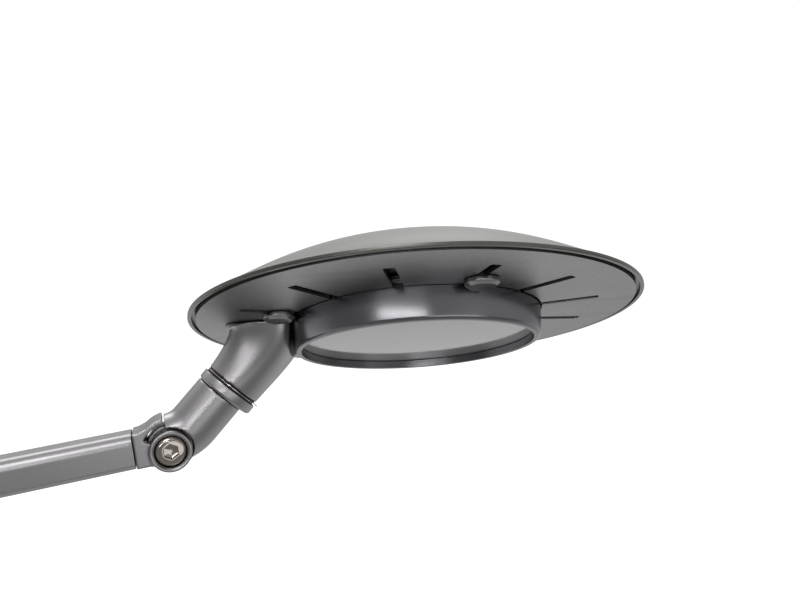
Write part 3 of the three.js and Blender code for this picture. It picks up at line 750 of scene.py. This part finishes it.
def tongue_end():
    """A link's tongue, its hinge at the origin and the link leaving towards -X."""
    start = -SEAM - TONGUE_SHOULDER
    above = 3.0
    low = 180 - math.degrees(math.asin(PROFILE_FOOT / KNUCKLE))
    high = 540 - math.degrees(math.asin(above / KNUCKLE))
    outline = [(start, PROFILE_FOOT), *arc(KNUCKLE, low, high, 72), (start, above)]
    body = upright(pressed(outline, [], -KNUCKLE_HALF, KNUCKLE_HALF))
    shoulder = put(along_x(pressed(section_outline(), [], 0, 2)), x=start)
    return cast(shaped(body, [shoulder, plug(start - 10, start + 1)], [hinge_hole()]))


def link(prefix, place, front):
    """A link from its rear hinge, at the place, to its front hinge, a fork or a tongue."""
    start = SEAM + 0.15
    end = LINK_LENGTH - start - (TONGUE_SHOULDER if front == "tongue" else 0)
    half = CHANNEL_WIDTH / 2
    ceiling = PROFILE_FOOT + CHANNEL_DEPTH
    channel = [(-half, PROFILE_FOOT), (-half, ceiling), (half, ceiling), (half, PROFILE_FOOT)]
    first, *others = section_outline()
    profile = put(along_x(pressed([first, *channel, *others], [], 0, end - start)), x=start)
    piece(prefix + "_profile", profile, place, bevel=0.12)
    side = half - 0.15
    low, high = PROFILE_FOOT + 0.05, PROFILE_FOOT + 1.1
    strip = [(-side, low), (side, low), (side, high), (-side, high)]
    cover = put(along_x(pressed(strip, [], 0, end - start)), x=start)
    piece(prefix + "_cover_strip", cover, place, bevel=0.15)
    rear = fork_end()
    bmesh.ops.scale(rear, vec=(-1, 1, 1), verts=rear.verts)
    bmesh.ops.reverse_faces(rear, faces=rear.faces)
    piece(prefix + "_rear_fork", rear, place)
    made = fork_end() if front == "fork" else tongue_end()
    piece(prefix + "_front_" + front, made, moved(place, LINK_LENGTH))


# ---------------------------------------------------------------- wall bracket and post


def wall_end():
    """The wall plate, its cover and the stem that carries the post."""
    screw_reach = 19
    bolt_reach = 9.5
    post_reach = 36
    plate_top = 3
    sides = (-1, 1)
    holes = [circle(2.4, 32, (side * screw_reach, 0)) for side in sides]
    holes += [circle(1.4, 24, (0, side * bolt_reach)) for side in sides]
    piece("wall_plate", pressed(circle(27, 128), holes, 0, plate_top), WALL, bevel=0.3)

    foot, flange = plate_top + 0.1, plate_top + 3.1
    stem = turned([(0, foot), (13, foot, 0.3), (13, flange, 0.8), (6, flange, 1.2), (6, post_reach, 0),
                   (0, post_reach)])
    barrel = tilted(turned([(0, -8), (7.5, -8, 0.9), (7.5, 8, 0.9), (0, 8)]), "Y", -90)
    bore = tilted(rod(4.15, -20, 20), "Y", -90)
    holes = [put(rod(1.7, 0, 10, 32), y=side * bolt_reach) for side in sides]
    whole = shaped(stem, [put(barrel, z=post_reach)], [put(bore, z=post_reach), *holes])
    piece("stem_bracket", cast(whole, 0.22, 8), WALL)

    outer = 30.0
    depth = 15.0
    wall = 1.2
    soft = 5.0
    hole = 6.6
    centre = (outer - soft, depth - soft)
    outside = [(x, y, 0) for x, y in arc(soft, 0, 90, 14, centre)]
    inside = [(x, y, 0) for x, y in arc(soft - wall, 90, 0, 14, centre)]
    cover = turned([(outer - wall, 0.3, 0.2), (outer, 0.3, 0.2), *outside, (hole, depth, 0.5),
                    (hole, depth - wall, 0.2), *inside], 160, closed=True)
    piece("wall_cover", cover, WALL)

    start = depth + 0.15
    end = start + 4
    middle = start + 2
    collar = turned([(6.15, start, 0.1), (9, start, 0.2), (9, end, 0.6), (6.15, end, 0.3)], 128,
                    closed=True)
    bore = put(tilted(rod(1.3, 5, 12, 32), "Y", 90), z=middle)
    piece("cover_collar", shaped(collar, [], [bore]), WALL)
    grub = grub_screw(1.15, 6.1, 8.6, 0.75, 7.4, 0.15)
    piece("cover_grub_screw", put(tilted(grub, "Y", 90), z=middle), WALL)

    for name, side in (("top", -1), ("bottom", 1)):
        screw = turned([(0, 0.1), (2, 0.1, 0.4), (2, 3.1, 0.1), (4.2, 3.1, 0.1), (4.2, 4.3, 0.5),
                        (3, 5.4, 0.5), (0, 5.6)], 64)
        piece("wall_screw_" + name, cross_cut(screw, 5.6), moved(WALL, side * screw_reach))
    for name, side in (("left", 1), ("right", -1)):
        bolt = turned([(0, 1.2), (1.25, 1.2, 0.2), (1.25, 6.2, 0.1), (2.6, 6.2, 0.1), (2.6, 7.7, 0.4),
                       (2, 8.2, 0.3), (0, 8.2)], 64)
        piece("bracket_bolt_" + name, cross_cut(bolt, 8.2), moved(WALL, y=side * bolt_reach))


def post_end():
    """The post that turns in the stem's barrel and carries the shoulder hinge."""
    hinge_height = (pivot("shoulder_tilt") - pivot("post_turn")).z / MM
    stalk_top = hinge_height - KNUCKLE - 0.6
    outline = [(0, -14), (3, -14, 0.4), (3, -7.6, 0), (4, -7.2, 0), (4, 9, 0.1), (7, 9, 0.25),
               (7, 11.6, 0.6), (4.7, 12, 0.5), (4.7, stalk_top - 0.8, 0.3), (3.6, stalk_top, 0.2),
               (0, stalk_top)]
    tongue = block((-3.3, -KNUCKLE_HALF, stalk_top - 1), (3.3, KNUCKLE_HALF, hinge_height))
    hole = put(hinge_hole(), z=hinge_height)
    whole = shaped(turned(outline), [tongue, put(knuckle(), z=hinge_height)], [hole])
    piece("shoulder_post", cast(whole), POST)
    piece("post_thrust_washer", washer(4.15, 6.8, 8.3, 8.7), POST)
    piece("post_nut", hex_nut(5.8, 3.12, -13.2, -9.2), POST)

    steps = 90
    split = math.radians(7)
    rise = 0.12
    thick = 0.55
    rings = []
    for i in range(steps + 1):
        turn = split + (2 * math.pi - 2 * split) * i / steps
        low = -9.0 + rise * i / steps
        section = [(3.15, low), (5.4, low), (5.4, low + thick), (3.15, low + thick)]
        rings.append([(r * math.cos(turn), r * math.sin(turn), z) for r, z in section])
    piece("post_spring_washer", skin(rings, False), POST, bevel=0.06)


# ---------------------------------------------------------------- neck


def tube(stations, sides=96):
    """A skin through sections in the XZ plane: x, z, angle, half sizes across and wide, power."""
    rings = []
    for x, z, angle, across, wide, power in stations:
        points = []
        for k in range(sides):
            turn = 2 * math.pi * k / sides
            c, s = math.cos(turn), math.sin(turn)
            u = across * math.copysign(abs(c) ** (2 / power), c)
            v = wide * math.copysign(abs(s) ** (2 / power), s)
            points.append((x - u * math.sin(angle), v, z + u * math.cos(angle)))
        rings.append(points)
    return skin(rings, False)


def neck():
    """The elbow between the upper link's fork and the swivel, its hinge at the place's origin."""
    angle = math.radians(NECK_ANGLE)
    end = ELBOW.inverted() @ pivot("head_swivel") / MM
    foot = COLLAR_HALF + 0.4
    top_x = end.x - NECK_OFFSET * math.sin(angle) - foot * math.cos(angle)
    top_z = end.z + NECK_OFFSET * math.cos(angle) - foot * math.sin(angle)
    corner = top_x - (top_z - RISE) / math.tan(angle)
    start = corner - NECK_BEND * math.tan(angle / 2)
    steps = 24
    stations = []
    for i in range(steps + 1):
        turn = angle * i / steps
        x = start + NECK_BEND * math.sin(turn)
        z = RISE + NECK_BEND * (1 - math.cos(turn))
        stations.append((x, z, turn, NECK, NECK, 2))
    stations.append((top_x, top_z, angle, NECK, NECK, 2))
    relief = BOSS + 0.4
    deep = NECK + 1
    cut = [
        lying(rod(relief, KNUCKLE_HALF, deep)),
        lying(rod(relief, -deep, -KNUCKLE_HALF)),
        hinge_hole(),
        put(tilted(rod(SPIGOT + 0.15, -6.3, 5, 64), "Y", 90 - NECK_ANGLE), end.x, 0, end.z),
    ]
    piece("neck_elbow", cast(shaped(tube(stations), [knuckle()], cut)), ELBOW)


def swivel():
    """The collar, the spigot and the three thin washers of the swivel."""
    half = COLLAR_HALF
    inner = SPIGOT + 0.12
    low = -half - COLLAR_SKIRT
    collar = turned([(inner, low, 0.1), (COLLAR - 0.35, low, 0.15), (COLLAR, low + 0.35, 0.15),
                     (COLLAR, half, 0.15), (inner, half, 0.1)], 128, closed=True)
    piece("swivel_collar", collar, SWIVEL)
    spigot = turned([(1.2, -6), (SPIGOT, -6, 0.2), (SPIGOT, 4, 0.1), (2.3, 4.3, 0.2), (2.3, 7.7, 0.2),
                     (SPIGOT, 8, 0.1), (SPIGOT, 9, 0.35), (1.2, 9)], 72, closed=True)
    piece("swivel_spigot", spigot, SWIVEL)
    feet = [half + THIN_GAP + layer * (THIN_WASHER + THIN_GAP) for layer in range(3)]
    hole = SPIGOT + 0.2
    for name, low in (("lower", feet[0]), ("upper", feet[2])):
        rubbing = ring(hole, COLLAR - 0.45, low, low + THIN_WASHER, 128, 0.03)
        piece(f"swivel_{name}_friction_washer", rubbing, TURNED)
    low, high = feet[1], feet[1] + THIN_WASHER
    flat = ring(hole, COLLAR - 0.3, low, high, 128, 0.03)
    tab = block((COLLAR - 1.2, -0.9, low), (COLLAR + 0.35, 0.9, high))
    piece("swivel_tab_washer", shaped(flat, [tab]), TURNED, bevel=0.03)
    grub = grub_screw(1.35, 2.55, 5, 0.85, 3.9, 0.2)
    piece("swivel_grub_screw", put(lying(grub), z=6), TURNED)


def head_bracket():
    """The upper neck: a round tube at the swivel that widens into a foot under the plate."""
    x, _, z = HEAD_FROM_SWIVEL / MM
    back, reach = BRACKET_SCREWS
    sides = {"front": -reach, "rear": reach}
    lean = math.pi / 2 + HEAD_TILT
    tube_radius = COLLAR - 0.3
    widest = 8.2
    start = COLLAR_HALF + 3 * (THIN_WASHER + THIN_GAP) + THIN_GAP
    first = Vector((start * math.cos(lean) - x, start * math.sin(lean) - z))
    last = Vector((-29, -0.3))
    corner = Vector((last.x, first.y + (last.x - first.x) * math.tan(lean)))
    steps = 40
    stations = []
    for i in range(steps + 1):
        t = i / steps
        centre = first * (1 - t) ** 2 + corner * 2 * t * (1 - t) + last * t * t
        slope = (corner - first) * (1 - t) + (last - corner) * t
        stations.append((centre.x, centre.y, math.atan2(slope.y, slope.x), tube_radius + 1.4 * t**1.5,
                         tube_radius + (widest - tube_radius) * t**1.6, 2 + 2 * t))

    def at_swivel(bm):
        return put(tilted(bm, "Y", 90 - math.degrees(lean)), -x, 0, -z)

    cut = [
        rod(RING_CLEARANCE, -20, 5, 256),
        at_swivel(rod(SPIGOT + 0.15, 0, 9.4, 64)),
        at_swivel(put(lying(rod(1.5, 0, 12, 32)), z=6)),
        *[put(rod(1.3, -3.4, 1, 24), back, side) for side in sides.values()],
    ]
    piece("head_bracket", cast(shaped(tube(stations), [], cut)), HEAD)
    for name, side in sides.items():
        screw = turned([(0, -3.1), (1.1, -3.1, 0.3), (1.1, 0.85, 0.1), (2.2, 0.85, 0.1),
                        (2.2, 1.65, 0.3), (1.6, 2.25, 0.3), (0, 2.25)], 64)
        piece("bracket_screw_" + name, cross_cut(screw, 2.25, 0.3, 1.1, 0.6), moved(HEAD, back, side))


# ---------------------------------------------------------------- head


def dome_height(radius):
    """The height of the dome's outer skin over the plate's underside."""
    return DOME_SHOULDER + DOME_RISE * (1 - (radius / DOME) ** 2.7) ** 1.2


def on_buttons(bm, angle):
    turn = math.radians(angle)
    return put(bm, BUTTON_CIRCLE * math.cos(turn), BUTTON_CIRCLE * math.sin(turn))


def dome():
    """The spun cover, with the four screw posts inside it."""
    steps = 40
    rebate = DOME - 0.7
    ledge = PLATE_THICK + 0.25
    inner_edge = 39.6
    sweep = [math.sin(math.pi / 2 * i / steps) for i in range(steps + 1)]
    inside = [(inner_edge * share, max(dome_height(inner_edge * share) - DOME_WALL, ledge), 0)
              for share in sweep]
    rim = [(rebate, ledge, 0.1), (rebate, DOME_FOOT, 0.1), (DOME, DOME_FOOT, 0.2),
           (DOME, DOME_SHOULDER, 0.15)]
    outer_edge = 0.9985 * DOME
    outside = [(outer_edge * share, dome_height(outer_edge * share), 0) for share in reversed(sweep)]
    shell = turned([*inside, *rim, *outside], 256)
    post_radius = 2.4
    post_top = dome_height(BUTTON_CIRCLE + post_radius) - DOME_WALL / 4
    posts = [on_buttons(rod(post_radius, 3.6, post_top, 32), angle) for angle in BUTTON_ANGLES]
    bores = [on_buttons(rod(1.6, 0, 6.8, 24), angle) for angle in BUTTON_ANGLES]
    piece("dome_cover", shaped(shell, posts, bores), HEAD)


def slot_plate():
    """The flat underside, whose centre hole runs out into the radial heat slots."""

    def polar(radius, turn):
        return radius * math.cos(turn), radius * math.sin(turn)

    mouth = math.asin(SLOT_HALF / PLATE_HOLE)
    corner = 0.4
    nick = 0.3 * corner
    opening = []
    for i in range(1, SLOTS + 1):
        turn = math.pi + SLOT_PITCH * i
        c, s = math.cos(turn), math.sin(turn)
        half_end = [(SLOT_END, SLOT_HALF - corner), (SLOT_END - nick, SLOT_HALF - nick),
                    (SLOT_END - corner, SLOT_HALF)]
        end = [(u, -v) for u, v in reversed(half_end)] + half_end
        opening.append(polar(PLATE_HOLE, turn - mouth))
        opening += [(u * c - v * s, u * s + v * c) for u, v in end]
        opening.append(polar(PLATE_HOLE, turn + mouth))
        last = i == SLOTS
        land = SLOT_PITCH * (2 if last else 1) - 2 * mouth
        steps = 28 if last else 14
        opening += [polar(PLATE_HOLE, turn + mouth + land * k / steps) for k in range(1, steps)]
    holes = [opening]
    for angle in BUTTON_ANGLES:
        holes.append(circle(1.65, 32, polar(BUTTON_CIRCLE, math.radians(angle))))
    back, reach = BRACKET_SCREWS
    for side in (-reach, reach):
        holes.append(circle(1.4, 24, (back, side)))
    whole = pressed(circle(PLATE, 256), [], 0, PLATE_THICK)
    cut = [pressed(hole, [], -1, PLATE_THICK + 1) for hole in holes]
    piece("slot_plate", shaped(whole, [], cut), HEAD, bevel=0.08)


def window():
    """The ring round the window, its opal glass and the round buttons beside it."""
    foot = Vector((23.2, -5.25))
    top = Vector((23.8, -0.2))
    belly = 0.1
    steps = 16
    side = []
    for i in range(steps + 1):
        t = i / steps
        point = foot.lerp(top, t)
        side.append((min(point.x + 4 * belly * t * (1 - t), top.x), point.y, 0))
    lip = [(22.6, GLASS_SEAT, 0.03), (22, GLASS_SEAT, 0.08), (22, -5.6, 0.12), (22.85, -5.6, 0.15)]
    flange = [(23.8, 0.95, 0.05), (24.7, 0.95, 0.1), (24.7, 1.65, 0.1), (22.6, 1.65, 0.1)]
    piece("window_ring", turned([*lip, *side, *flange], 256, closed=True), HEAD)
    low = GLASS_SEAT + 0.1
    glass = turned([(0, low), (22.35, low, 0.12), (22.35, GLASS_TOP, 0.15), (0, GLASS_TOP)], 192)
    piece("front_glass", glass, HEAD)
    for i, angle in enumerate(BUTTON_ANGLES):
        button = turned([(0, -1.3), (2.3, -1.3, 0.15), (2.85, -0.85, 0.15), (2.85, -0.15, 0.12),
                         (1.4, -0.15, 0.1), (1.4, 6.5, 0.3), (0, 6.5)])
        piece(f"plate_button_{i + 1}", on_buttons(button, angle), HEAD)
    piece("glass_gasket", ring(20.9, 22.35, GLASS_TOP + 0.1, GASKET_TOP, 192, 0.2), HEAD)


def lamp():
    """The reflector, its lamp and board, and the sheet carrier that holds them in the dome."""
    low = GASKET_TOP + 0.1
    high = low + 0.6
    bowl = turned([(20.7, low, 0.1), (22.3, low, 0.1), (22.3, high, 0.1), (20.9, high, 0.1),
                   (7, 3.5, 0.3), (6.8, 2.9, 0.2)], 192, closed=True)
    piece("reflector", bowl, HEAD)
    emitter = turned([(0, 3.2), (4.6, 3.2, 0.3), (5, 3.45, 0.2), (5, 3.95, 0.1), (0, 3.95)])
    piece("led_emitter", emitter, HEAD)
    piece("led_board", turned([(0, 4.05), (11, 4.05, 0.1), (11, 5.25, 0.1), (0, 5.25)]), HEAD)
    carrier = turned([(0, 5.4), (13, 5.4, 1.5), (22, 2.1, 1.5), (29, 2.1, 0.2), (29, 3.3, 0.2),
                      (22.4, 3.3, 1.5), (13.4, 6.6, 1.5), (0, 6.6)], 192)
    holes = [on_buttons(rod(1.6, 0, 8, 32), angle) for angle in BUTTON_ANGLES]
    piece("lamp_carrier", shaped(carrier, [], holes), HEAD)


# ---------------------------------------------------------------- making the object

CAMERA_FROM_SWIVEL = Vector((-0.01146, -0.13905, 0.02024))
LOOKING = Vector((0.3155, 0.9485, -0.0281))
CAMERA_UP = Vector((0.0307, 0.0194, 0.9993))
LENS = 32.4

camera = bpy.data.objects.new("camera", bpy.data.cameras.new("camera"))
camera.data.sensor_width = 36
camera.data.lens = LENS
camera.data.clip_start = 0.005
view_right = LOOKING.cross(CAMERA_UP).normalized()
view_up = view_right.cross(LOOKING).normalized()
axes = Matrix((view_right, view_up, -LOOKING.normalized())).transposed().to_4x4()
camera.matrix_world = Matrix.Translation(pivot("head_swivel") + CAMERA_FROM_SWIVEL) @ axes
bpy.context.scene.collection.objects.link(camera)
bpy.context.scene.camera = camera

wall_end()
post_end()
link("lower_link", SHOULDER, "tongue")
link("upper_link", MIDDLE, "fork")
hinge_hardware("shoulder", SHOULDER)
hinge_hardware("mid_hinge", MIDDLE)
hinge_hardware("elbow", ELBOW)
neck()
swivel()
head_bracket()
dome()
slot_plate()
window()
lamp()

# ---------------------------------------------------------------- floor and light


FLOOR = Vector((0.2, 0, -0.45))  # below the head when the whole arm hangs down
FLOOR_REACH = 6.0
WHITE = (1, 1, 1, 1)


def floor():
    """A plain pale floor under the object, white to the camera and darker towards the front."""
    bm = bmesh.new()
    bmesh.ops.create_grid(bm, x_segments=1, y_segments=1, size=FLOOR_REACH)
    made = thing(bm, "floor")
    made.location = FLOOR
    material = bpy.data.materials.new("pale_floor")
    material.use_nodes = True
    tree = material.node_tree
    shader = next(node for node in tree.nodes if node.type == "BSDF_PRINCIPLED")
    shader.inputs["Base Color"].default_value = (0.3, 0.3, 0.3, 1)
    shader.inputs["Roughness"].default_value = 0.9
    shader.inputs["Specular IOR Level"].default_value = 0.0
    shader.inputs["Emission Color"].default_value = WHITE
    seen = add(tree, "ShaderNodeLightPath").outputs["Is Camera Ray"]
    where = add(tree, "ShaderNodeNewGeometry").outputs["Position"]
    depth = add(tree, "ShaderNodeSeparateXYZ", {0: where}).outputs["Y"]
    glow = spread(tree, depth, -0.45, 1.05, 0.02, 0.65)
    tree.links.new(sum_of(tree, "MAXIMUM", glow, seen), shader.inputs["Emission Strength"])
    made.data.materials.append(material)


def softbox(name, position, target, size, power):
    """An area light of power watts that looks from its position at the target."""
    light = bpy.data.lights.new(name, "AREA")
    light.shape = "RECTANGLE"
    light.size, light.size_y = size
    light.energy = power
    made = bpy.data.objects.new(name, light)
    made.location = position
    made.rotation_euler = (Vector(target) - Vector(position)).to_track_quat("-Z", "Y").to_euler()
    bpy.context.scene.collection.objects.link(made)


def studio():
    """White all round for the camera, and a dimmer, even light for the object."""
    world = bpy.data.worlds.new("studio")
    world.use_nodes = True
    tree = world.node_tree
    tree.nodes.clear()
    place = add(tree, "ShaderNodeTexCoord").outputs["Generated"]
    apart = add(tree, "ShaderNodeSeparateXYZ", {0: place}).outputs
    back = spread(tree, apart["Y"], 0.1, 0.8, 0.0, 0.45)
    right = spread(tree, apart["X"], -0.2, 0.9, 0.0, 0.25)
    above = spread(tree, apart["Z"], 0.1, 0.8, 0.0, 0.35)
    sides = sum_of(tree, "ADD", back, right)
    lit = sum_of(tree, "ADD", sum_of(tree, "ADD", sides, above), 0.2)
    soft = add(tree, "ShaderNodeBackground", {"Color": WHITE, "Strength": lit}).outputs[0]
    white = add(tree, "ShaderNodeBackground", {"Color": WHITE, "Strength": 1.1}).outputs[0]
    seen = add(tree, "ShaderNodeLightPath").outputs["Is Camera Ray"]
    mixed = add(tree, "ShaderNodeMixShader", {0: seen, 1: soft, 2: white}).outputs[0]
    add(tree, "ShaderNodeOutputWorld", {"Surface": mixed})
    bpy.context.scene.world = world
    head = HEAD.translation
    softbox("back_light", (0.3, 1.1, 1.3), (0.3, 1.0, 0), (2.0, 1.0), 12)
    softbox("front_light", head + 0.55 * Vector((-0.5, -0.82, 0.16)), head, (0.4, 0.04), 0.34)
    hinge = ELBOW.translation
    softbox("key_light", hinge + 0.7 * Vector((-0.32, -0.63, 0.7)), hinge, (0.3, 0.22), 0.85)
    softbox("fill_light", hinge + 0.6 * Vector((0.31, -0.94, -0.09)), hinge, (0.5, 0.22), 0.32)


floor()
studio()
bpy.context.scene.view_settings.view_transform = "Standard"
